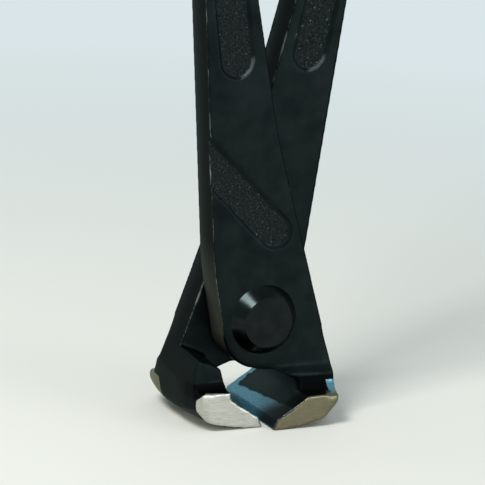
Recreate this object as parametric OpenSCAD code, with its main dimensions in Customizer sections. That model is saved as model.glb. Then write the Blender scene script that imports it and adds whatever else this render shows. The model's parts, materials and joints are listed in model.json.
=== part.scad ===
// High-leverage end cutting nippers: two forged levers crossing in a riveted lap joint.
// The jaws point down and the handles up, with the cutting edges a little apart.
// Origin: the middle of the lowest edge. X runs across, Y along the rivet, Z up the handles.

/* [Overall] */
// Length from the cutting edges to the ends of the bare handles
tool_l = 300; // [270:1:330]
// Gap between the cutting edges as the tool stands
edge_gap = 1; // [0.6:0.1:2]

/* [Joint] */
// Thickness of each lever where the two laps lie on each other
lap_t = 7.2; // [6.6:0.1:8]
// Radius of the round lower end of a lap
lap_r = 10; // [9.6:0.1:10.6]
// Distance of that round's middle in front of the rivet's axis
lap_shift = 0.9; // [0.5:0.1:1.2]
// Distance of that round's middle below the rivet's axis
lap_drop = 0.8; // [0.5:0.1:1.2]
// Gap between the faces of the two laps
lap_gap = 0.1; // [0.06:0.02:0.2]
// Diameter of the rivet's shank
rivet_d = 9; // [7:0.1:10]
// Radial clearance round the shank
rivet_clear = 0.05; // [0.02:0.01:0.08]
// Diameter of a rivet head where it meets its lever
head_d = 14.4; // [12:0.1:16]
// Diameter of the flat on top of a rivet head
head_flat_d = 10.4; // [8:0.1:11.5]
// Height of a rivet head
head_h = 2.6; // [1.8:0.1:3.2]
// Gap between the rear head and the lever that turns under it
head_gap = 0.06; // [0.04:0.01:0.12]

/* [Jaws] */
// Distance from the rivet's axis to the cutting edges
edge_drop = 21.6; // [20:0.1:24]
// Reach of a cutting edge along the rivet's axis, to the cheek on the outer side
edge_reach = 14; // [12:0.1:16]
// Reach of a cutting edge to the cheek on the joint side
joint_edge_reach = 11; // [9.6:0.1:13]
// Reach of the outer side's cheek at the outer face
cheek_reach = 13; // [11.5:0.1:13.8]
// Reach of the joint side's cheek at the outer face
joint_cheek_reach = 12.7; // [11.5:0.1:13.5]
// Distance from the middle plane to a jaw's outer face, jaws closed
jaw_reach = 16.6; // [15.5:0.1:18]
// Radius of the ground end face
end_r = 52; // [40:1:70]
// Radius of the outer face's crown
crown_r = 70; // [50:1:120]
// Radius of the crown that takes the outer face's lower corners off towards the cheeks
corner_r = 50; // [44:1:70]
// Rounding between cheek and outer face
jaw_round = 2.4; // [0.8:0.2:3]
// Height of the steep facet behind the cutting edge
facet_h = 2.2; // [1.4:0.1:2.6]
// Angle of the steep facet to the end face
facet_a = 65; // [55:1:72]
// Angle of the long bevel above the facet
bevel_a = 30; // [27:1:34]
// Distance from the middle plane to the wall of the hollow between the jaws
hollow_reach = 8; // [7.6:0.1:8.4]
// Drop from the rivet's axis to the low end of the hollow's ceiling, at its wall
ceiling_drop = 12.9; // [12.4:0.1:13]
// Reach of the soft corners of the hollow
hollow_soft = 0.95; // [0.6:0.05:1]
// Drop from the rivet's axis to the crease under the lap's outer face
crease_drop = 10.3; // [10:0.1:11]
// Width across the neck at the wall of the hollow
neck_l = 17; // [15:0.1:19]
// Angle at which the outer flank of the neck spreads towards the outer face
neck_a = 3; // [0:1:8]
// Angle at which the flank on the joint side spreads
joint_neck_a = 14; // [8:1:18]
// Slope of the flare from the lap's outer face out to the flank
flare_a = 45; // [35:1:55]
// Drop from the rivet's axis to the start of the scoop on the outer flank
scoop_drop = 12.4; // [12:0.1:13]
// Radius of that scoop
scoop_r = 2.7; // [2:0.1:3.2]
// Drop from the rivet's axis to the start of the scoop on the joint side
joint_scoop_drop = 12.1; // [11.6:0.1:12.6]
// Radius of the scoop on the joint side
joint_scoop_r = 1.7; // [1.3:0.1:2.4]
// Drop to the shoulder at the outer face, where the jaw crosses to full width
shoulder_drop = 6.3; // [5.8:0.1:6.8]
// Slope of the shoulder down from the joint to the flank
shoulder_a = 2.5; // [1:0.1:6]
// Distance from the middle plane to the shoulder's inner foot
shoulder_foot_x = 9.4; // [9:0.1:9.8]
// Drop of that foot from the rivet's axis
shoulder_foot_drop = 9.3; // [9:0.1:9.8]

/* [Levers] */
// Distance from the rivet's axis to the lever's back edge at its heel
heel_x = 11.6; // [10.8:0.1:13]
// Height of the heel above the rivet's axis
heel_z = 9.5; // [8:0.1:12]
// Height where the front edge bends into the slim shank
bend_z = 38; // [34:0.5:44]
// Distance of that bend from the middle plane
bend_x = 1.6; // [0.6:0.1:2.6]
// Height where the shank reaches its slim width
shank_z = 66; // [60:0.5:72]
// Distance from the middle plane to the shank's back edge there
shank_x = 16.2; // [15:0.1:18]
// Width of the shank
shank_w = 12; // [10.5:0.1:13.5]
// Height where the shank starts to crank over to the middle
crank_z = 94; // [90:1:104]
// Height over which it cranks
crank_l = 28; // [22:1:36]
// Greatest distance from the middle plane to a handle's centre line
bow_x = 23.2; // [20:0.2:28]
// Distance from the middle plane to the centre line at a handle's end
end_x = 17.6; // [14:0.2:22]
// Width of a handle at its end
handle_w = 11; // [9:0.1:13]
// Thickness of a handle
handle_t = 8.4; // [7.4:0.1:10]
// Rounding along a handle's edges
handle_round = 2.6; // [1.5:0.1:3.2]

/* [Panels] */
// Depth of the recessed panels and of the slanting band
panel_depth = 0.5; // [0.3:0.05:0.8]
// Width of a panel
panel_w = 7; // [5:0.1:8]
// Length of a panel
panel_l = 38; // [24:1:40]
// Height of a panel's lower end above the rivet's axis
panel_z = 50; // [47:0.5:52]
// Distance from the middle plane to a panel's lower end
panel_x = 7.9; // [7:0.1:9]
// Lean of a panel away from the middle plane
panel_a = 8.6; // [6:0.1:10]
// Width of the slanting band across the outer face
band_w = 6.9; // [5:0.1:8]
// Slope of that band
band_a = 44.8; // [40:0.2:48]
// Distance of the band's middle line from the rivet's axis
band_off = 13.9; // [12.5:0.1:15]
// Distance along that line from its nearest point to the band's rounded end
band_start = 8.2; // [7:0.1:10]

/* [Grips] */
// Height above the rivet's axis where a grip begins
grip_z = 124; // [122:1:140]
// Thickness of a grip's dipped skin
grip_wall = 1.4; // [1:0.1:2]
// Clearance of a grip round its handle
grip_clear = 0.05; // [0.02:0.01:0.1]
// Thickness of the skin over a handle's end
grip_cap = 3; // [2:0.1:5]

/* [Hidden] */
$fn = 96;
overrun = 1; // reach of a cut past the face that it leaves
forged_black = [0.10, 0.11, 0.12];
rivet_black = [0.14, 0.15, 0.16];
grip_grey = [0.20, 0.21, 0.23];
foot_in = 0.6; // how far the foot of the front edge stands inside the jaw's reach
foot_soft = 2; // reach of the soft bend there
face_in = 0.5; // how far the outer face draws in at its lower corner
corner_in = 1.1; // distance of the end face's corner inside the jaw's reach
corner_h = 1; // height of the outer face's lower corner above the end face's
corner_soft = 0.8; // reach of the soft bend there
corner_a = 45; // slope of the crown at the outer face's lower corner
corner_deep = 2.5; // how deep the corner's crown can reach
ceiling_flat = 2; // width of the flat under the lap, before the ceiling falls to the wall
shoulder_dip = 1.8; // how far the shoulder falls before its steep part
shoulder_share = 0.45; // place of the shoulder's bend, of foot and reach together
bow_share = 0.47; // height of the bow's control point, of shank and handle top together
sharp_share = 0.12; // least rounding along the shank, of the handle's rounding
flat_share = 0.8; // most rounding of an edge, of half the thickness
tip_share = 0.75; // how far a handle's end draws in

rest_half = asin(edge_gap / 2 / edge_drop);
pivot_z = edge_drop * cos(rest_half);
handle_top = tool_l - edge_drop;
big = tool_l; // larger than anything that a cut or a mask has to cover

// Points of a soft bend at corner b between a and c, starting r away from b
function toward(p, q, d) = p + (q - p) * d / norm(q - p);
function bend(a, b, c, r, n) =
    let (s = toward(b, a, r), e = toward(b, c, r))
    [for (i = [0 : n]) let (u = i / n) s * (1 - u) ^ 2 + b * 2 * u * (1 - u) + e * u ^ 2];
// Points of an arc about c from angle a0 to a1
function arc(c, r, a0, a1, n) =
    [for (i = [0 : n]) let (a = a0 + (a1 - a0) * i / n) c + r * [cos(a), sin(a)]];

// Centre line of the handle above the shank: a curve from the shank, out to the bow, to the end
shank_mid = [-shank_x + shank_w / 2, shank_z];
bow_mid = [-bow_x, (shank_z + handle_top) * bow_share];
top_mid = [-end_x, handle_top];
function line_at(u) = shank_mid * (1 - u) ^ 2 + bow_mid * 2 * u * (1 - u) + top_mid * u ^ 2;
// Share of the curve at which it reaches height z
function share_at(z) =
    let (a = shank_z - 2 * bow_mid[1] + handle_top, b = 2 * (bow_mid[1] - shank_z), c = shank_z - z)
    abs(a) < 1e-6 ? -c / b : (-b + sqrt(b * b - 4 * a * c)) / (2 * a);
function mid_x(z) = line_at(share_at(z))[0];
function half_w(z) = (shank_w + (handle_w - shank_w) * (z - shank_z) / (handle_top - shank_z)) / 2;

// Side view: how far the crank has gone at height z, from 0 on the lap to 1 in the middle plane
function crank(z) =
    let (u = max(0, min(1, (z - crank_z) / crank_l)))
    u * u * (3 - 2 * u);
function mid_y(z) = -(lap_t + lap_gap / 2) / 2 * (1 - crank(z));
function half_t(z) = ((lap_t - lap_gap / 2) * (1 - crank(z)) + handle_t * crank(z)) / 2;

lap_n = 10; // steps of the lap's round
lap_from = 184; // angle where the heel's line meets the lap's round
soft_n = 6; // steps of a soft bend
end_n = 10; // steps of the end face
shank_n = 5; // steps of the shank
soft_l = 6; // reach of the soft bends at heel and shank
lap_mid = [lap_shift, -lap_drop];
heel = [-heel_x, heel_z];
shank_back = [-shank_x, shank_z];
shank_front = [-shank_x + shank_w, shank_z];
bend_front = [bend_x, bend_z];
foot_front = [jaw_reach - foot_in, -crease_drop];
bevel_foot = [facet_h / tan(facet_a), -edge_drop + facet_h];
hollow_top = [hollow_reach, -ceiling_drop];
hollow_low = [hollow_reach, bevel_foot[1] + (hollow_reach - bevel_foot[0]) * tan(bevel_a)];
end_mid = [0, end_r - edge_drop];
end_a = asin((jaw_reach - corner_in) / end_r);
end_corner = end_mid + end_r * [sin(end_a), -cos(end_a)];
shoulder_bend = [(shoulder_foot_x + jaw_reach) * shoulder_share, -shoulder_drop - shoulder_dip];

// Front view of a lever up to the crank, jaws closed, rivet's axis at the origin
module outline() {
    shank_zs = [for (i = [1 : shank_n]) shank_z + (crank_z - shank_z) * i / shank_n];
    lap_low = lap_mid - [0, lap_r];
    ceiling = lap_low + [ceiling_flat, 0];
    widest = [jaw_reach, -scoop_drop];
    face_low = [jaw_reach - face_in, end_corner[1] + corner_h];
    polygon(concat(
        arc(lap_mid, lap_r, 270, lap_from, lap_n),
        bend(lap_mid - [lap_r, 0], heel, shank_back, soft_l, soft_n),
        [shank_back],
        [for (z = shank_zs) [mid_x(z) - half_w(z), z]],
        [for (i = [shank_n - 1 : -1 : 0]) [mid_x(shank_zs[i]) + half_w(shank_zs[i]), shank_zs[i]]],
        [shank_front],
        bend(shank_front, bend_front, foot_front, soft_l, soft_n),
        bend(bend_front, foot_front, widest, foot_soft, soft_n),
        bend(widest, face_low, end_corner, corner_soft, soft_n),
        arc(end_mid, end_r, 270 + end_a, 270, end_n),
        [bevel_foot],
        bend(bevel_foot, hollow_low, hollow_top, hollow_soft, soft_n),
        bend(hollow_low, hollow_top, ceiling, hollow_soft, soft_n),
        [ceiling]
    ));
}

// Plan view of a jaw: cheeks, rounded corners and crowned outer face
module jaw_plan() {
    inner = [-overrun, joint_edge_reach];
    corner = [jaw_reach, joint_cheek_reach];
    outer_inner = [-overrun, -edge_reach];
    outer_corner = [jaw_reach, -cheek_reach];
    intersection() {
        polygon(concat(
            [inner], bend(inner, corner, outer_corner, jaw_round, soft_n),
            bend(corner, outer_corner, outer_inner, jaw_round, soft_n), [outer_inner]
        ));
        translate([jaw_reach - crown_r, 0]) circle(r = crown_r, $fn = 180);
    }
}

// Side view of what is cut from a flank: clear above the scoop, then a round down to the cheek
module scoop(drop, r) {
    scoop_mid = [neck_l / 2 + r, -drop];
    translate(scoop_mid) circle(r = r);
    translate([neck_l / 2, -drop]) square(big);
    translate(scoop_mid - [0, r]) square(big);
}

// Side view of what is cut above the crease: clear of the lap's outer face, then the flare
module above_crease() {
    flare = neck_l / 2 - lap_t;
    low = -crease_drop - flare * tan(flare_a);
    polygon([[lap_t, big], [lap_t, -crease_drop], [neck_l / 2, low], [big, low], [big, big]]);
}

// Front view of what the shoulder leaves free for the other lever
module above_shoulder() {
    foot = [shoulder_foot_x, -shoulder_foot_drop];
    polygon([
        [-big, big], [-big, -ceiling_drop], hollow_top, foot, shoulder_bend,
        [jaw_reach, -shoulder_drop], [big, -shoulder_drop], [big, big]
    ]);
}

// Cut that takes the corner between outer face and end face off, more and more towards the cheeks
module corner_crown() {
    translate([end_corner[0], 0, end_corner[1]]) rotate([0, corner_a, 0]) difference() {
        translate([-corner_deep, -big / 2, -big / 2]) cube(big);
        translate([-corner_r, 0, 0]) cylinder(r = corner_r, h = 2 * big, center = true);
    }
}

module upright(h) { rotate([90, 0, 0]) linear_extrude(h, center = true) children(); }
module across(l) { rotate([90, 0, 90]) linear_extrude(l, center = true) children(); }

// Jaw, neck, lap and shank: the front view brought to its plan, then relieved on both sides
module forging() {
    difference() {
        intersection() {
            upright(2 * (edge_reach + overrun)) outline();
            union() {
                linear_extrude(big, center = true) jaw_plan();
                translate([-big / 2, -lap_t - overrun, -crease_drop]) cube([big, lap_t + 2 * overrun, big]);
            }
        }
        corner_crown();
        mirror([0, 1, 0]) across(big) above_crease();
        translate([hollow_reach, 0, 0]) rotate([0, 0, -neck_a]) mirror([0, 1, 0]) across(big)
            scoop(scoop_drop, scoop_r);
        translate([hollow_reach, 0, 0]) rotate([0, 0, joint_neck_a]) across(big)
            scoop(joint_scoop_drop, joint_scoop_r);
        intersection() {
            rotate([-shoulder_a, 0, 0]) upright(big) above_shoulder();
            translate([-big / 2, -lap_gap / 2, -big / 2]) cube(big);
        }
    }
}

// Ring of a handle at height z: a rectangle with rounded edges, grown by g all round
ring_n = 5;
function ring(z, g) =
    let (
        a = half_w(z) + g,
        b = half_t(z) + g,
        r = min(handle_round * max(sharp_share, crank(z)), b * flat_share) + g,
        m = [mid_x(z), mid_y(z)]
    )
    [for (q = [0 : 3], i = [0 : ring_n - 1])
        let (t = q * 90 + 90 * i / (ring_n - 1),
             c = [(q == 0 || q == 3 ? 1 : -1) * (a - r), (q < 2 ? 1 : -1) * (b - r)])
        [m[0] + c[0] + r * cos(t), m[1] + c[1] + r * sin(t), z]];

// Solid lofted through rings of equal count
module loft(rings) {
    k = len(rings[0]);
    m = len(rings);
    polyhedron(
        points = [for (r = rings) each r],
        faces = concat(
            [[for (i = [0 : k - 1]) i]],
            [[for (i = [0 : k - 1]) (m - 1) * k + k - 1 - i]],
            [for (j = [0 : m - 2], i = [0 : k - 1]) [j * k + i, (j + 1) * k + i, (j + 1) * k + (i + 1) % k]],
            [for (j = [0 : m - 2], i = [0 : k - 1]) [j * k + i, (j + 1) * k + (i + 1) % k, j * k + (i + 1) % k]]
        )
    );
}

// Handle's end: rings drawn in along a quarter round of reach e, seen from below its top
function dome(z_top, e, g) =
    [for (i = [0 : 4]) let (t = 18 * i, k = 1 - tip_share * (1 - cos(t)), z = z_top - e + e * sin(t))
        [for (p = ring(min(z, handle_top), g))
            [mid_x(handle_top) + (p[0] - mid_x(min(z, handle_top))) * k, p[1] * k, z]]];

module handle() {
    n = 18;
    e = handle_round;
    z0 = crank_z - overrun;
    z1 = handle_top - e;
    loft(concat(
        [for (i = [0 : n - 1]) ring(z0 + (z1 - z0) * i / n, 0)],
        dome(handle_top, e, 0)
    ));
}

module lever_closed() {
    union() {
        forging();
        handle();
    }
}

// Slot standing on its rounded lower end
module slot(w, l) {
    translate([0, w / 2]) circle(d = w);
    translate([0, l - w / 2]) circle(d = w);
    translate([-w / 2, w / 2]) square([w, l - w]);
}

module panel(side_y) {
    translate([-panel_x, side_y, panel_z]) rotate([0, -panel_a, 0])
        upright(2 * panel_depth) slot(panel_w, panel_l);
}

module band() {
    translate([0, -lap_t, 0]) rotate([0, 90 - band_a, 0]) translate([0, 0, band_off])
        rotate([0, -90, 0]) translate([0, 0, band_start]) upright(2 * panel_depth) slot(band_w, big);
}

module lever() {
    difference() {
        lever_closed();
        rotate([90, 0, 0]) cylinder(d = rivet_d + 2 * rivet_clear, h = big, center = true);
        panel(-lap_t);
        panel(-lap_gap / 2);
        band();
    }
}

module placed(side) {
    translate([0, 0, pivot_z]) rotate([0, 0, side]) rotate([0, -rest_half, 0]) children();
}

module front_lever() { color(forged_black) placed(0) lever(); }
module back_lever() { color(forged_black) placed(180) lever(); }

module pivot_rivet() {
    front_y = lap_t;
    back_y = lap_t + head_gap;
    color(rivet_black) translate([0, 0, pivot_z]) rotate([90, 0, 0]) rotate_extrude()
        polygon([
            [0, front_y + head_h], [head_flat_d / 2, front_y + head_h], [head_d / 2, front_y],
            [rivet_d / 2, front_y], [rivet_d / 2, -back_y], [head_d / 2, -back_y],
            [head_flat_d / 2, -back_y - head_h], [0, -back_y - head_h]
        ]);
}

module grip() {
    n = 16;
    z1 = handle_top - handle_round;
    difference() {
        loft(concat(
            [for (i = [0 : n - 1]) ring(grip_z + (z1 - grip_z) * i / n, grip_wall + grip_clear)],
            dome(handle_top + grip_cap, handle_round + grip_cap, grip_wall + grip_clear)
        ));
        loft(concat(
            [for (i = [0 : n - 1]) ring(grip_z - overrun + (z1 - grip_z + overrun) * i / n, grip_clear)],
            dome(handle_top + grip_clear, handle_round, grip_clear)
        ));
    }
}

module front_grip() { color(grip_grey) placed(0) grip(); }
module back_grip() { color(grip_grey) placed(180) grip(); }

front_lever();
back_lever();
pivot_rivet();
front_grip();
back_grip();
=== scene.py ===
import json
import math

import bmesh
import bpy
import numpy
from mathutils import Matrix, Vector


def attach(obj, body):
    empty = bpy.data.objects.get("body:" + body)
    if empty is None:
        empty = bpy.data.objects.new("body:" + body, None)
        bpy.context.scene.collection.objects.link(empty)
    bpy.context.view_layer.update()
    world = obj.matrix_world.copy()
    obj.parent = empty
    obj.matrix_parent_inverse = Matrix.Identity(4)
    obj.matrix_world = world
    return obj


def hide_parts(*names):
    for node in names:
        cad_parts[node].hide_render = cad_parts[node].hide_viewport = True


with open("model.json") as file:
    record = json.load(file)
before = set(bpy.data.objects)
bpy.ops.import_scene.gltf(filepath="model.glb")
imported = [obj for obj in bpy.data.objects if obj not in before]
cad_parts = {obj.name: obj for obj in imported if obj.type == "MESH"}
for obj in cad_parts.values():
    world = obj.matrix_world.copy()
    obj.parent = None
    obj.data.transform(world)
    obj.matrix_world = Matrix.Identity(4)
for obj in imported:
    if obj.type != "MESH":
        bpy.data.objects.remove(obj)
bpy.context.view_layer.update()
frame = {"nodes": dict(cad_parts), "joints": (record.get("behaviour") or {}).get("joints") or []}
print("frame loaded")

mm = 0.001
pivot = Vector(frame["joints"][0]["pos_m"])  # where the rivet's axis crosses the middle plane


def linearColour(hexText):
    channels = [int(hexText[i:i + 2], 16) / 255 for i in (1, 3, 5)]
    return [c / 12.92 if c <= 0.04045 else ((c + 0.055) / 1.055) ** 2.4 for c in channels] + [1]


def addNode(material, kind, inputs=None, settings=None, stops=None):
    # inputs: socket name or number -> value or another node's output; stops: places and colours of a ramp
    tree = material.node_tree
    made = tree.nodes.new(kind)
    for name, value in (settings or {}).items():
        setattr(made, name, value)
    for socket, value in (inputs or {}).items():
        if isinstance(value, bpy.types.NodeSocket):
            tree.links.new(value, made.inputs[socket])
        else:
            made.inputs[socket].default_value = value
    for i, (place, hexText) in enumerate(stops or ()):
        element = made.color_ramp.elements[i] if i < 2 else made.color_ramp.elements.new(place)
        element.position, element.color = place, linearColour(hexText)
    return made


def newMaterial(name):
    material = bpy.data.materials.new(name)
    material.use_nodes = True
    material.node_tree.nodes.clear()
    return material


# all lengths of the lever in millimetres, from the rivet's axis, with the jaws closed
# x runs outwards to the jaw, y from the outer face (negative) to the joint side, z up the handle
# a pair named for a start and a stretch says where something sets in and over how much it grows
leverLook = {
    "lapThickness": 7.2,
    "lapGap": 0.1,
    "edgeDrop": 21.6,
    "edgeGap": 1.0,  # between the two cutting edges at rest
    "voxel": 0.3,
    "mergeDistance": 0.01,
    "keepShare": 0.5,  # share of the triangles that is kept
    # ground faces of the jaw
    "skin": 0.24,  # a point this deep under a ground face still counts as ground
    "groundTop": -12.6,  # nothing is ground above this height
    "endRadius": 52.0,
    "endTop": -14.0,
    "corner": (15.5, -19.23),  # lower outer corner, ground off to a crowned face
    "cornerRound": 2.4,
    "crownRadius": 50.0,
    "crownStarts": (8.5, 11.5),  # the crown is bare this far out on the outer side and on the joint side
    "outerReach": (13.943, -0.0568),  # cheek's distance at the edge and its change per millimetre outwards
    "outerLedge": -14.95,  # a cheek is ground below this height
    "outerTurn": (12, 3.5),  # start and stretch in which the grinding runs round the jaw's corner
    "outerRound": (7.2, 0.45, -15, 4),  # how far, and a share more of the depth under -15, of 4 at most
    "jointReach": (11.1, 0.0966),
    "jointLedge": (-13.7, 0.25, 13.2),  # height, and how fast it drops past a distance
    "jointTurn": (10.5, 3),
    "jointRound": 0.7,
    "bevelFoot": (1.026, -19.4),
    "bevelSlope": 30.0,
    "bevelGround": (3.5, -0.09),  # the bevel is ground this far out, and less towards the joint side
    "mouthStrip": (9.3, 9.0, 8.2, 0.3),  # the painted sky reflection along the mouth: start on the joint side, rise, how far out, inset from the cheek
    "facetSlope": 65.0,
    "skyPatchCorner": ((13.8, 15.9), (-15.1, -13.2), -8),  # patch at the end of the outer scoop, painted with a sky reflection
    # painted shade and painted light on the jaw
    "scoopShade": (7, -15.4, -12),  # painted shade in the scoops over the cheeks
    "mouthWall": (10.5, 12.5, -19.5, -11.5),  # the wall of the mouth behind the bevel, where painted light lifts the shade under the lap
    # recesses
    "recessDepth": 0.5,
    "recessInset": 0.3,
    "floorShare": 0.3,  # the recess's tone starts at this share of its depth
    "floorBelow": 0.2,  # and stops this far under its floor
    "floorSteepness": 4,
    "panel": (-7.9, 50.0, 8.6, 3.5, 38.0),  # foot, height, lean, half width, length
    "band": (44.8, 13.9, 8.2, 3.45, 60.0),  # slope, distance, start, half width, length
    "bandFace": -1,  # the band is cut into the outer face alone
    "lip": (0.1, 0.5),  # the band of the panel's lip with a painted highlight: distance inside the outline, and reach
    "lipHighlightSpan": (0.2, 4.0, 0.3),  # the painted highlight lies past this distance across, below this length, and its softness
    # edges
    "sideFall": 0.5,  # how far a side's long edges lie inside its middle
    "sideRamp": (0.5, 0.5),  # start and stretch in how much a face looks sideways
    "sideFallFrom": (-8, 4),  # it starts at this height, over so much
    "sideFallTo": (100, 20),  # and ends at this one, under the crank
    "sideFacing": 0.6,  # a face that looks sideways at least so much is left as forged
    "lapMiddle": (0.9, -0.8),  # middle of the lap's lower round
    "lapRadius": 10.0,
    "rimWidth": 1.3,
    "rimDepth": 0.8,
    "rimFace": 0.8,  # the rim is eased within this depth of the outer face
    "rimBelow": 1,  # and no further below the lap than this
    "rimDrop": 4,  # it starts at the rivet's height, and is full this far below
    "rimEnd": (4, 3),  # and dies out towards the jaw
    "pull": 0.6,  # share of the way that a point moves in one smoothing pass
    "sharpWithin": 0.4,  # ground faces stay sharp up to this distance
    "roundPasses": 4,
    "dressPasses": 22,
    "dressOut": (11.5, 2),  # start and stretch outwards
    "dressAcross": 3,  # stretch from the middle to the outer side
    "dressDown": (2, 4),  # start and stretch downwards there
    "dressLow": (13, 2),  # start and stretch downwards on the whole width
    "otherEdge": 0.35,  # share of the wear on a shank's other long edge, where the painted glint is left off
    "darkEdge": (5.5, -6, 9, 0.15),  # painted contact shadow there: past a distance, above a height, its gain and threshold
    "nowhere": -1.0,  # a field's value where it has no part
}


def ramp(values, start, stretch):
    # 0 up to the start, 1 from a stretch further on
    return numpy.clip((values - start) / stretch, 0, 1)


def slotInside(across, along, halfWidth, length):
    # how far a point is inside a slot with round ends
    nearest = numpy.clip(along, halfWidth, length - halfWidth)
    return halfWidth - numpy.hypot(across, along - nearest)


def cheekField(x, y, z):
    look = leverLook
    reach, change = look["outerReach"]
    most, share, height, deepest = look["outerRound"]
    turned = most + share * numpy.clip(height - z, 0, deepest)
    outer = look["skin"] + turned * ramp(x, *look["outerTurn"]) + numpy.abs(y) - reach - change * x
    reach, change = look["jointReach"]
    turned = look["jointRound"]
    joint = look["skin"] + turned * ramp(x, *look["jointTurn"]) + numpy.abs(y) - reach - change * x
    # the joint side's cheek is ground to a rounded corner under its ledge
    height, drop, start = look["jointLedge"]
    jointLedge = height - drop * numpy.maximum(x - start, 0) ** 2
    outer = numpy.minimum(outer, look["outerLedge"] - z)
    return numpy.where(y < 0, outer, numpy.minimum(joint, jointLedge - z))


def bevelField(x, y, z):
    look = leverLook
    footX, footZ = look["bevelFoot"]
    slope = math.radians(look["bevelSlope"])
    plane = look["skin"] - (footZ - z) * math.cos(slope) - (x - footX) * math.sin(slope)
    limit, lean = look["bevelGround"]
    reach, change = look["jointReach"]
    # a strip along the mouth's far edge carries the bevel's painted sky reflection further out than the
    # rest of the bevel
    start, rise, farthest, inset = look["mouthStrip"]
    strip = numpy.minimum(limit + lean * y + rise * ramp(y, start, 1), farthest) - x
    strip = numpy.minimum.reduce([plane, strip, reach + change * x - inset - y])
    return numpy.maximum(numpy.minimum(plane, limit + lean * y - x), strip)


def jawFields(x, y, z):
    # signed millimetres: positive on the ground faces, on the bevel, facet and painted sky patch, in the
    # painted shade, on the wall with painted light
    look = leverLook
    skin = look["skin"]
    endFace = skin - look["endRadius"] + numpy.hypot(x, z - look["endRadius"] + look["edgeDrop"])
    endFace = numpy.minimum(endFace, look["endTop"] - z)
    cornerX, cornerZ = look["corner"]
    out = ((x - cornerX) - (z - cornerZ)) / math.sqrt(2)
    crown = skin - look["crownRadius"] + numpy.hypot(out + look["crownRadius"], y)
    starts = numpy.where(y < 0, *look["crownStarts"])
    crown = numpy.minimum.reduce([crown, out + look["cornerRound"], numpy.abs(y) - starts])
    bevel = bevelField(x, y, z)
    steep = math.radians(look["facetSlope"])
    facet = skin - x * math.sin(steep) + (z + look["edgeDrop"]) * math.cos(steep)
    # a painted sky reflection at the end of the outer scoop
    (left, right), (low, high), near = look["skyPatchCorner"]
    skyPatch = numpy.minimum.reduce([x - left, right - x, high - z, z - low, near - y])
    bevelled = numpy.maximum.reduce([bevel, facet, skyPatch])
    jaw = numpy.maximum.reduce([endFace, crown, cheekField(x, y, z), bevelled])
    # painted shade in the scoops
    inner, low, high = look["scoopShade"]
    soot = numpy.minimum.reduce([numpy.abs(y) - inner, z - low, high - z])
    # painted light on the mouth's wall behind the bevel
    outer, right, low, high = look["mouthWall"]
    wall = numpy.minimum.reduce([outer - numpy.abs(y), right - x, z - low, high - z])
    return numpy.minimum(jaw, look["groundTop"] - z), bevelled, soot, wall


def recessFields(x, y, z):
    # signed millimetres: positive in a recess, and on a panel's lip where a highlight is painted
    look = leverLook
    outside = y < -look["lapThickness"] / 2
    footX, footZ, lean, halfWidth, length = look["panel"]
    lean = math.radians(lean)
    across = (x - footX) * math.cos(lean) + (z - footZ) * math.sin(lean)
    along = (z - footZ) * math.cos(lean) - (x - footX) * math.sin(lean)
    inPanel = slotInside(across, along, halfWidth, length)
    # a painted highlight on one side of the lower end of a panel's lip, where its sloped wall would catch
    # the light
    start, end, softness = look["lipHighlightSpan"]
    highlightSpan = numpy.minimum(numpy.where(outside, across, -across) - start, end - along) * softness
    slope, distance, start, halfWidth, length = look["band"]
    slope = math.radians(slope)
    across = x * math.sin(slope) + z * math.cos(slope) - distance
    along = -x * math.cos(slope) + z * math.sin(slope) - start
    inBand = slotInside(across, along, halfWidth, length)
    inBand = numpy.where(y < look["bandFace"], inBand, look["nowhere"])
    deep = look["floorShare"] * look["recessDepth"]
    under = numpy.where(outside, y + look["lapThickness"], -look["lapGap"] / 2 - y) - deep
    lipAt, lipReach = look["lip"]
    lip = numpy.minimum.reduce([lipReach - numpy.abs(inPanel - lipAt), under + 2 * deep, highlightSpan])
    under = numpy.minimum(under, look["recessDepth"] + look["floorBelow"] - deep - under)
    recess = numpy.maximum(inPanel, inBand) - look["recessInset"]
    return numpy.minimum(recess, under * look["floorSteepness"]), lip


def rimMove(x, y, z):
    # the lower round of a lap is eased on its outer face
    look = leverLook
    middleX, middleZ = look["lapMiddle"]
    end, width = look["rimEnd"]
    rim = numpy.hypot(x - middleX, z - middleZ) - look["lapRadius"] + look["rimWidth"]
    rim = numpy.clip(rim / look["rimWidth"], 0, 1) * (y < look["rimFace"] - look["lapThickness"])
    rim = rim * ramp(-z, 0, look["rimDrop"])
    rim = rim * (z > -look["lapRadius"] - look["rimBelow"]) * ramp(-x, -end, width)
    return look["rimDepth"] * rim ** 2


def sideMove(y, z, sideways):
    # the sides below the crank fall away a little from their middle line
    look = leverLook
    reach = numpy.clip(numpy.abs(y + look["lapThickness"] / 2) * 2 / look["lapThickness"], 0, 1)
    end, width = look["sideFallTo"]
    fall = look["sideFall"] * reach ** 2 * ramp(numpy.abs(sideways), *look["sideRamp"])
    return fall * ramp(z, *look["sideFallFrom"]) * ramp(-z, -end, width) * numpy.sign(sideways)


def applyModifiers(piece):
    made = bpy.data.meshes.new_from_object(piece.evaluated_get(bpy.context.evaluated_depsgraph_get()))
    piece.modifiers.clear()
    piece.data = made


def remeshed(name, mesh):
    # one even skin of small faces over the whole solid
    shape = bmesh.new()
    shape.from_mesh(mesh)
    bmesh.ops.remove_doubles(shape, verts=shape.verts, dist=leverLook["mergeDistance"] * mm)
    shape.to_mesh(mesh)
    shape.free()
    piece = bpy.data.objects.new(name, mesh)
    bpy.context.scene.collection.objects.link(piece)
    remesh = piece.modifiers.new("skin", "REMESH")
    remesh.mode = "VOXEL"
    remesh.voxel_size = leverLook["voxel"] * mm
    applyModifiers(piece)
    return piece


def readPoints(mesh, what):
    values = numpy.empty(len(mesh.vertices) * 3)
    mesh.vertices.foreach_get(what, values)
    return values.reshape(-1, 3)


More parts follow.
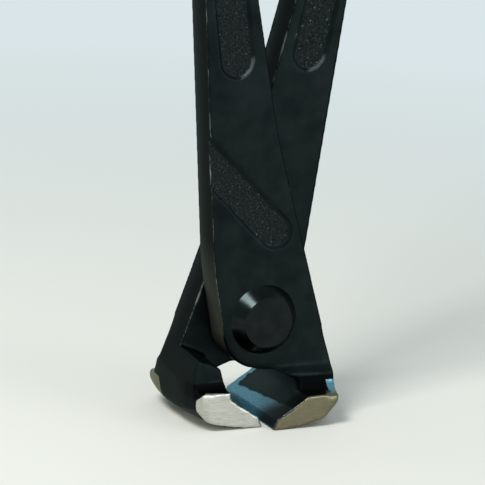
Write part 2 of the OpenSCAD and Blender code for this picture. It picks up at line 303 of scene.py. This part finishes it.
def buildLever(name, node, body, turn, steel):
    look = leverLook
    piece = remeshed(name, frame["nodes"][node].data.copy())
    surface = piece.data
    count = len(surface.vertices)
    ends = numpy.empty(len(surface.edges) * 2, dtype=numpy.int32)
    surface.edges.foreach_get("vertices", ends)
    first, second = ends.reshape(-1, 2).T
    neighbours = numpy.bincount(first, minlength=count) + numpy.bincount(second, minlength=count)

    def averaged(values):
        total = numpy.bincount(first, values[second], count) + numpy.bincount(second, values[first], count)
        return total / numpy.maximum(neighbours, 1)

    def averagedPoints(points):
        return numpy.stack([averaged(points[:, i]) for i in range(3)], axis=1)

    def eased(points, freedom, passes):
        for _ in range(passes):
            points = points + (averagedPoints(points) - points) * freedom[:, None]
        return points

    # into the pose with closed jaws; the back lever is also turned half round the tool's length
    half = math.asin(look["edgeGap"] / 2 / look["edgeDrop"])
    closed = numpy.array(Matrix.Rotation(half, 3, "Y") @ Matrix.Rotation(-turn, 3, "Z"))
    points = readPoints(surface, "co")
    local = (points - numpy.array(pivot)) / mm @ closed.T
    x, y, z = local.T
    sideways = (readPoints(surface, "normal") @ closed.T)[:, 0]
    points = points - sideMove(y, z, sideways)[:, None] * closed[0] * mm
    points = points + rimMove(x, y, z)[:, None] * closed[1] * mm
    # the forged edges are rounded off a little, the ground ones stay sharp
    ground = jawFields(x, y, z)[0]
    freedom = look["pull"] * numpy.clip(look["sharpWithin"] - ground, 0, 1)
    points = eased(points, freedom, look["roundPasses"])
    # a jaw's outer face is dressed to one soft sweep, ground parts and all
    sweep = ramp(-y, 0, look["dressAcross"]) * ramp(-z, *look["dressDown"])
    sweep = numpy.maximum(sweep, ramp(-z, *look["dressLow"]))
    freedom = look["pull"] * ramp(x, *look["dressOut"]) * sweep
    points = eased(points, freedom, look["dressPasses"])
    surface.vertices.foreach_set("co", points.ravel())
    surface.update()
    # how sharply the surface bends: wear, with a painted glint, shows on its edges
    bend = (points - averagedPoints(points)) * readPoints(surface, "normal")
    bend = bend.sum(axis=1) / (look["voxel"] * mm)
    bend = (averaged(bend) + bend) / 2
    local = (points - numpy.array(pivot)) / mm @ closed.T
    x, y, z = local.T
    # each face of a shank has wear with a painted glint along one of its long edges, and a painted contact
    # shadow along the other one
    off = x + math.tan(math.radians(look["panel"][2])) * z
    other = off * (y + look["lapThickness"] / 2) < 0
    # painted contact shadow along a shank's other long edge
    distance, height, gain, threshold = look["darkEdge"]
    edge = other & (numpy.abs(off) > distance) & (z > height)
    darkEdge = numpy.where(edge, gain * bend - threshold, look["nowhere"])
    ground, bevelled, soot, wall = jawFields(x, y, z)
    recess, lip = recessFields(x, y, z)
    fields = {
        "ground": ground,
        "bevelled": bevelled,
        "wall": wall,
        "soot": numpy.maximum(soot, darkEdge),
        "recess": recess,
        "lip": lip,
        "scale": numpy.abs(sideways) - look["sideFacing"],
        "bend": bend * numpy.where(other, look["otherEdge"], 1.0),
    }
    for label, values in fields.items():
        attribute = surface.attributes.new(label, "FLOAT", "POINT")
        attribute.data.foreach_set("value", values.astype(numpy.float32))
    attribute = surface.attributes.new("place", "FLOAT_VECTOR", "POINT")
    attribute.data.foreach_set("vector", local.astype(numpy.float32).ravel())
    piece.modifiers.new("thin", "DECIMATE").ratio = look["keepShare"]
    applyModifiers(piece)
    piece.data.materials.clear()
    piece.data.materials.append(steel)
    piece.data.shade_smooth()
    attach(piece, body)
    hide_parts(node)
    print(name, len(piece.data.polygons), "faces")


# patterns are in the lever's millimetres
steelLook = {
    "clouds": {"Scale": 0.2, "Detail": 5.0},  # of about 5 mm
    "grain": {"Scale": 2.4, "Detail": 4.0, "Roughness": 0.65},  # forged grain of about 0.4 mm
    "marks": {"Scale": 1.1, "Detail": 5.0},
    "markStretch": (0.5, 0.8, 7.0),  # wheel marks of about 0.13 mm, one to two millimetres long
    "oxideTones": ((0.3, "#151a1b"), (0.5, "#192020"), (0.7, "#1f2526")),
    "recessTones": ((0.35, "#151919"), (0.64, "#2d3333"), (0.78, "#a0a7a7")),
    "brightTones": ((0.3, "#a9aaa2"), (0.7, "#c8c9c2")),
    # the warm tones are a painted reflection of warm surroundings in shade on the outer cheek
    "paintedWarmReflectionTones": ((0.3, "#64604e"), (0.7, "#7d7862")),
    # the cool tones are a painted reflection of the blue sky on the bevel
    "paintedSkyReflectionTones": ((0.3, "#5d8da0"), (0.7, "#7babbb")),
    # painted dark reflection at the near end of the bevel and facet
    "dullTone": "#44474a",
    "scaleTone": "#1a1e1d",
    # painted light on the sides towards the lap's round edge
    "rubbedTone": "#444640",
    # painted shade in the scoops, and a painted contact shadow along a shank's edge
    "sootTone": "#0b0d0e",
    # painted light on the mouth's wall, lifting the shade under the lap
    "wallTone": "#313a39",
    # painted highlight on one side of a panel's lip
    "lipTone": "#747b7b",
    # worn edges, stronger along the edge with a painted glint
    "wearAndGlintTone": "#9da09b",
    "edgeTint": "#d9e1df",  # an oxide skin mirrors less at a low angle than bare metal
    "oxideRoughness": (0.38, 0.52),
    "groundRoughness": (0.24, 0.44),
    "scaleRoughness": 0.62,
    "sootRoughness": 0.55,
    "lipRoughness": 0.35,
    "recessRoughness": 0.62,
    "wearAndGlintRoughness": 0.3,
    "ragged": 0.3,  # how far the grain eats into a mask's border
    "borders": {"ground": 0.12, "recess": 0.2, "scale": 0.3, "soot": 0.4, "lip": 0.7, "wall": 2.0},
    "cloudWear": 0.22,  # how much the clouds vary the wear
    "wear": (0.065, 0.14),  # the bend at which it starts, and at which it is full
    # direction, and where along it a zone starts and is full
    "zones": {
        "handled": ((0, 0, 1), -7.0, -4.5),  # the shank, where edges are worn and carry a painted glint
        "outer": ((0, -1, 0), 1.0, 4.0),  # the outer cheek and its corner
        "dull": ((-0.8, -1, 0), 3.0, 7.5),  # painted dark reflection at the near end of the bevel and facet
        "rubbed": ((-1, 0, -0.6), 2.0, 10.0),  # painted light on the sides towards the lap's round edge
    },
    "paintedSkyReflectionBorder": (-0.12, -0.02),
    "reliefStrength": 0.6,
    "reliefHeights": (0.00004, 0.0002),  # metres: on the faces, and on a recess's floor
}


def forgedSteel():
    # black-oxide forged steel, jaws ground bright: satin near-black skin, pale metal with fine wheel marks;
    # its colours also hold painted shade, light and reflections
    look = steelLook
    steel = newMaterial("forgedSteel")
    place = addNode(steel, "ShaderNodeAttribute", settings={"attribute_name": "place"}).outputs["Vector"]
    clouds = addNode(steel, "ShaderNodeTexNoise", {"Vector": place, **look["clouds"]}).outputs["Fac"]
    grain = addNode(steel, "ShaderNodeTexNoise", {"Vector": place, **look["grain"]}).outputs["Fac"]
    stretched = addNode(steel, "ShaderNodeVectorMath", {
        0: place, 1: look["markStretch"]}, {"operation": "MULTIPLY"}).outputs[0]
    marks = addNode(steel, "ShaderNodeTexNoise", {"Vector": stretched, **look["marks"]}).outputs["Fac"]
    tones = {}
    for label, pattern in (
            ("oxide", clouds), ("recess", grain), ("bright", marks), ("paintedWarmReflection", marks), ("paintedSkyReflection", marks)):
        tones[label] = addNode(
            steel, "ShaderNodeValToRGB", {"Fac": pattern}, stops=look[label + "Tones"]).outputs[0]
    for label in ("dull", "scale", "rubbed", "soot", "wall", "lip", "wearAndGlint"):
        tones[label] = linearColour(look[label + "Tone"])
    # each mask follows a field of the lever, with a border that the grain eats into
    masks = {}
    for label, border in look["borders"].items():
        inside = addNode(steel, "ShaderNodeAttribute", settings={"attribute_name": label}).outputs["Fac"]
        ragged = addNode(steel, "ShaderNodeMath", {
            0: grain, 1: look["ragged"], 2: inside}, {"operation": "MULTIPLY_ADD"}).outputs[0]
        start = look["ragged"] / 2
        masks[label] = addNode(steel, "ShaderNodeMapRange", {
            "Value": ragged, "From Min": start, "From Max": start + border}).outputs[0]
    zones = {}
    for label, (direction, start, full) in look["zones"].items():
        along = addNode(steel, "ShaderNodeVectorMath", {
            0: place, 1: direction}, {"operation": "DOT_PRODUCT"}).outputs["Value"]
        zones[label] = addNode(steel, "ShaderNodeMapRange", {
            "Value": along, "From Min": start, "From Max": full}).outputs[0]
    # the oxide is worn off the shank's edges, in patches, stronger on the edge with a painted glint
    bend = addNode(steel, "ShaderNodeAttribute", settings={"attribute_name": "bend"}).outputs["Fac"]
    patchy = addNode(steel, "ShaderNodeMath", {
        0: clouds, 1: look["cloudWear"], 2: bend}, {"operation": "MULTIPLY_ADD"}).outputs[0]
    wearAndGlint = addNode(steel, "ShaderNodeMapRange", {
        "Value": patchy, "From Min": look["wear"][0] + look["cloudWear"] / 2,
        "From Max": look["wear"][1] + look["cloudWear"] / 2}).outputs[0]
    masks["wearAndGlint"] = addNode(steel, "ShaderNodeMath", {
        0: wearAndGlint, 1: zones["handled"]}, {"operation": "MULTIPLY"}).outputs[0]
    bevelled = addNode(steel, "ShaderNodeAttribute", settings={"attribute_name": "bevelled"}).outputs["Fac"]
    # the bevel's painted sky reflection follows the bevelled field
    masks["paintedSkyReflection"] = addNode(steel, "ShaderNodeMapRange", {
        "Value": bevelled, "From Min": look["paintedSkyReflectionBorder"][0], "From Max": look["paintedSkyReflectionBorder"][1]}).outputs[0]
    # the joint side's cheek is bright, the outer one warm and duller, a painted reflection of warm
    # surroundings in shade
    # the bevel carries a painted blue sky reflection, and a painted dark reflection at its near end
    # painted light makes the lap's round edge a little lighter than the other sides
    for label, mask, under, over in (
            ("paintedSkyReflection", zones["dull"], "paintedSkyReflection", "dull"), ("metal", zones["outer"], "bright", "paintedWarmReflection"),
            ("ground", masks["paintedSkyReflection"], "metal", "paintedSkyReflection"), ("scale", zones["rubbed"], "scale", "rubbed")):
        tones[label] = addNode(steel, "ShaderNodeMix", {
            "Factor": mask, 6: tones[under], 7: tones[over]}, {"data_type": "RGBA"}).outputs[2]
    colour = tones["oxide"]
    for label in ("scale", "wall", "soot", "lip", "recess", "wearAndGlint", "ground"):
        colour = addNode(steel, "ShaderNodeMix", {
            "Factor": masks[label], 6: colour, 7: tones[label]}, {"data_type": "RGBA"}).outputs[2]
    low, high = look["oxideRoughness"]
    roughness = addNode(steel, "ShaderNodeMapRange", {
        "Value": clouds, "To Min": low, "To Max": high}).outputs[0]
    for label in ("scale", "soot", "lip", "recess", "wearAndGlint"):
        roughness = addNode(steel, "ShaderNodeMix", {
            "Factor": masks[label], 2: roughness, 3: look[label + "Roughness"]}).outputs[0]
    low, high = look["groundRoughness"]
    wheel = addNode(steel, "ShaderNodeMapRange", {
        "Value": marks, "To Min": low, "To Max": high}).outputs[0]
    roughness = addNode(steel, "ShaderNodeMix", {
        "Factor": masks["ground"], 2: roughness, 3: wheel}).outputs[0]
    height = addNode(steel, "ShaderNodeMix", {
        "Factor": masks["ground"], 2: grain, 3: marks}).outputs[0]
    low, high = look["reliefHeights"]
    depth = addNode(steel, "ShaderNodeMapRange", {
        "Value": masks["recess"], "To Min": low, "To Max": high}).outputs[0]
    relief = addNode(steel, "ShaderNodeBump", {
        "Height": height, "Strength": look["reliefStrength"], "Distance": depth}).outputs[0]
    shader = addNode(steel, "ShaderNodeBsdfPrincipled", {
        "Base Color": colour, "Metallic": 1.0, "Roughness": roughness, "Normal": relief,
        "Specular Tint": linearColour(look["edgeTint"])})
    addNode(steel, "ShaderNodeOutputMaterial", {"Surface": shader.outputs[0]})
    return steel


steel = forgedSteel()
buildLever("frontForging", "front_lever", "front_body", 0, steel)
buildLever("backForging", "back_lever", "back_body", math.pi, steel)

rivetLook = {
    "tones": ((0.3, "#1b2020"), (0.7, "#232828")),
    "pattern": {"Scale": 400.0, "Detail": 4.0},  # per metre: clouds of about two and a half millimetres
    "polish": (0.18, 0.24),
    "relief": {"Strength": 0.3, "Distance": 0.00003},
}


def rivetSteel():
    # turned and blackened rivet: a tighter, glossier skin than the forging round it
    look = rivetLook
    blackened = newMaterial("blackenedRivet")
    coordinates = addNode(blackened, "ShaderNodeTexCoord").outputs["Object"]
    grain = addNode(blackened, "ShaderNodeTexNoise", {
        "Vector": coordinates, **look["pattern"]}).outputs["Fac"]
    colour = addNode(blackened, "ShaderNodeValToRGB", {"Fac": grain}, stops=look["tones"]).outputs[0]
    roughness = addNode(blackened, "ShaderNodeMapRange", {
        "Value": grain, "To Min": look["polish"][0], "To Max": look["polish"][1]}).outputs[0]
    relief = addNode(blackened, "ShaderNodeBump", {"Height": grain, **look["relief"]}).outputs[0]
    shader = addNode(blackened, "ShaderNodeBsdfPrincipled", {
        "Base Color": colour, "Metallic": 1.0, "Roughness": roughness, "Normal": relief})
    addNode(blackened, "ShaderNodeOutputMaterial", {"Surface": shader.outputs[0]})
    return blackened


rivet = frame["nodes"]["pivot_rivet"]
rivet.data.materials.clear()
rivet.data.materials.append(rivetSteel())
print("rivet finished")

gripLook = {
    "tones": ((0.3, "#2b2d30"), (0.7, "#34363a")),
    "pattern": {"Scale": 420.0, "Detail": 3.0},  # per metre: orange peel of about 2.4 millimetres
    "satin": (0.42, 0.56),
    "relief": {"Strength": 0.3, "Distance": 0.00015},
}


def dippedVinyl():
    # dipped vinyl: soft dark grey, satin, with the slight orange peel of a dipped skin
    look = gripLook
    vinyl = newMaterial("dippedVinyl")
    coordinates = addNode(vinyl, "ShaderNodeTexCoord").outputs["Object"]
    peel = addNode(vinyl, "ShaderNodeTexNoise", {"Vector": coordinates, **look["pattern"]}).outputs["Fac"]
    colour = addNode(vinyl, "ShaderNodeValToRGB", {"Fac": peel}, stops=look["tones"]).outputs[0]
    roughness = addNode(vinyl, "ShaderNodeMapRange", {
        "Value": peel, "To Min": look["satin"][0], "To Max": look["satin"][1]}).outputs[0]
    relief = addNode(vinyl, "ShaderNodeBump", {"Height": peel, **look["relief"]}).outputs[0]
    shader = addNode(vinyl, "ShaderNodeBsdfPrincipled", {
        "Base Color": colour, "Roughness": roughness, "Normal": relief})
    addNode(vinyl, "ShaderNodeOutputMaterial", {"Surface": shader.outputs[0]})
    return vinyl


vinyl = dippedVinyl()
for node in ("front_grip", "back_grip"):
    grip = frame["nodes"][node]
    grip.data.materials.clear()
    grip.data.materials.append(vinyl)
print("grips finished")

stageLook = {
    "floorSize": 3.0,
    "floorColour": "#dddcd4",
    "floorRoughness": 0.7,
    "farColour": "#d9e5e8",
    "farFrom": 0.1,  # metres from the object
    "farFull": 0.42,
    "skyColour": "#d9e5e8",
    "skyLight": 0.72,
    # name, place, aim, size, power
    "boxes": (
        ("keyBox", (-0.5, -0.28, 0.75), (0, 0, 0.05), 0.3, 7),
        ("sideBox", (0.6, -0.8, 0.2), (0, 0, 0.05), 0.5, 3),
    ),
}


def palePaint():
    # matt pale paint: near the object it takes the shadow, further off it keeps its own pale colour
    look = stageLook
    paint = newMaterial("palePaint")
    near = addNode(paint, "ShaderNodeBsdfPrincipled", {
        "Base Color": linearColour(look["floorColour"]), "Roughness": look["floorRoughness"]})
    # the far colour shows to the eye and in reflections alone, so it lights no matt surface
    rays = addNode(paint, "ShaderNodeLightPath").outputs
    seen = rays["Is Camera Ray"]
    for ray in ("Is Glossy Ray", "Is Transmission Ray"):
        seen = addNode(paint, "ShaderNodeMath", {
            0: seen, 1: rays[ray]}, {"operation": "MAXIMUM"}).outputs[0]
    spot = addNode(paint, "ShaderNodeTexCoord").outputs["Object"]
    reach = addNode(paint, "ShaderNodeVectorMath", {0: spot}, {"operation": "LENGTH"}).outputs["Value"]
    share = addNode(paint, "ShaderNodeMapRange", {
        "Value": reach, "From Min": look["farFrom"], "From Max": look["farFull"],
        "To Max": seen}).outputs[0]
    far = addNode(paint, "ShaderNodeEmission", {"Color": linearColour(look["farColour"])}).outputs[0]
    mixed = addNode(paint, "ShaderNodeMixShader", {"Fac": share, 1: near.outputs[0], 2: far}).outputs[0]
    addNode(paint, "ShaderNodeOutputMaterial", {"Surface": mixed})
    return paint


def buildStage():
    look = stageLook
    shape = bmesh.new()
    bmesh.ops.create_grid(shape, x_segments=1, y_segments=1, size=look["floorSize"] / 2)
    mesh = bpy.data.meshes.new("floor")
    shape.to_mesh(mesh)
    shape.free()
    mesh.materials.append(palePaint())
    floor = bpy.data.objects.new("floor", mesh)
    bpy.context.scene.collection.objects.link(floor)
    # the sky shows at full strength to the camera and lights a little less
    world = bpy.data.worlds.new("paleRoom")
    world.use_nodes = True
    bpy.context.scene.world = world
    sky = world.node_tree.nodes["Background"]
    sky.inputs["Color"].default_value = linearColour(look["skyColour"])
    seen = addNode(world, "ShaderNodeLightPath").outputs["Is Camera Ray"]
    strength = addNode(world, "ShaderNodeMapRange", {
        "Value": seen, "To Min": look["skyLight"], "To Max": 1.0}).outputs[0]
    world.node_tree.links.new(strength, sky.inputs["Strength"])
    for name, place, aim, size, power in look["boxes"]:
        light = bpy.data.lights.new(name, "AREA")
        light.size = size
        light.energy = power
        holder = bpy.data.objects.new(name, light)
        bpy.context.scene.collection.objects.link(holder)
        holder.location = place
        holder.rotation_euler = (Vector(aim) - Vector(place)).to_track_quat("-Z", "Y").to_euler()


buildStage()
print("stage built")

# directions as fitted to the photograph, lengths in millimetres from the rivet's middle
cameraLook = {
    "toCamera": (-0.41859847, -0.87745713, 0.23418859),
    "right": (0.90734231, -0.41508857, 0.0665689),
    "up": (0.03879765, 0.24035485, 0.96990942),
    "distance": 688.0,
    "shiftRight": -1.28176,
    "shiftUp": 13.84893,
    "sensorWidth": 36,
    "focalShare": 6.946161,  # focal length as a share of the sensor's width
    "nearest": 0.01,
}


def buildCamera():
    look = cameraLook
    right, up, back = (Vector(look[key]) for key in ("right", "up", "toCamera"))
    camera = bpy.data.cameras.new("camera")
    camera.sensor_width = look["sensorWidth"]
    camera.lens = look["focalShare"] * look["sensorWidth"]
    camera.clip_start = look["nearest"]
    holder = bpy.data.objects.new("camera", camera)
    bpy.context.scene.collection.objects.link(holder)
    place = pivot + (back * look["distance"] + right * look["shiftRight"] + up * look["shiftUp"]) * mm
    turn = Matrix((right, up, back)).transposed().to_4x4()
    holder.matrix_world = Matrix.Translation(place) @ turn
    bpy.context.scene.camera = holder


buildCamera()
bpy.context.scene.view_settings.view_transform = "Standard"
print("camera set")
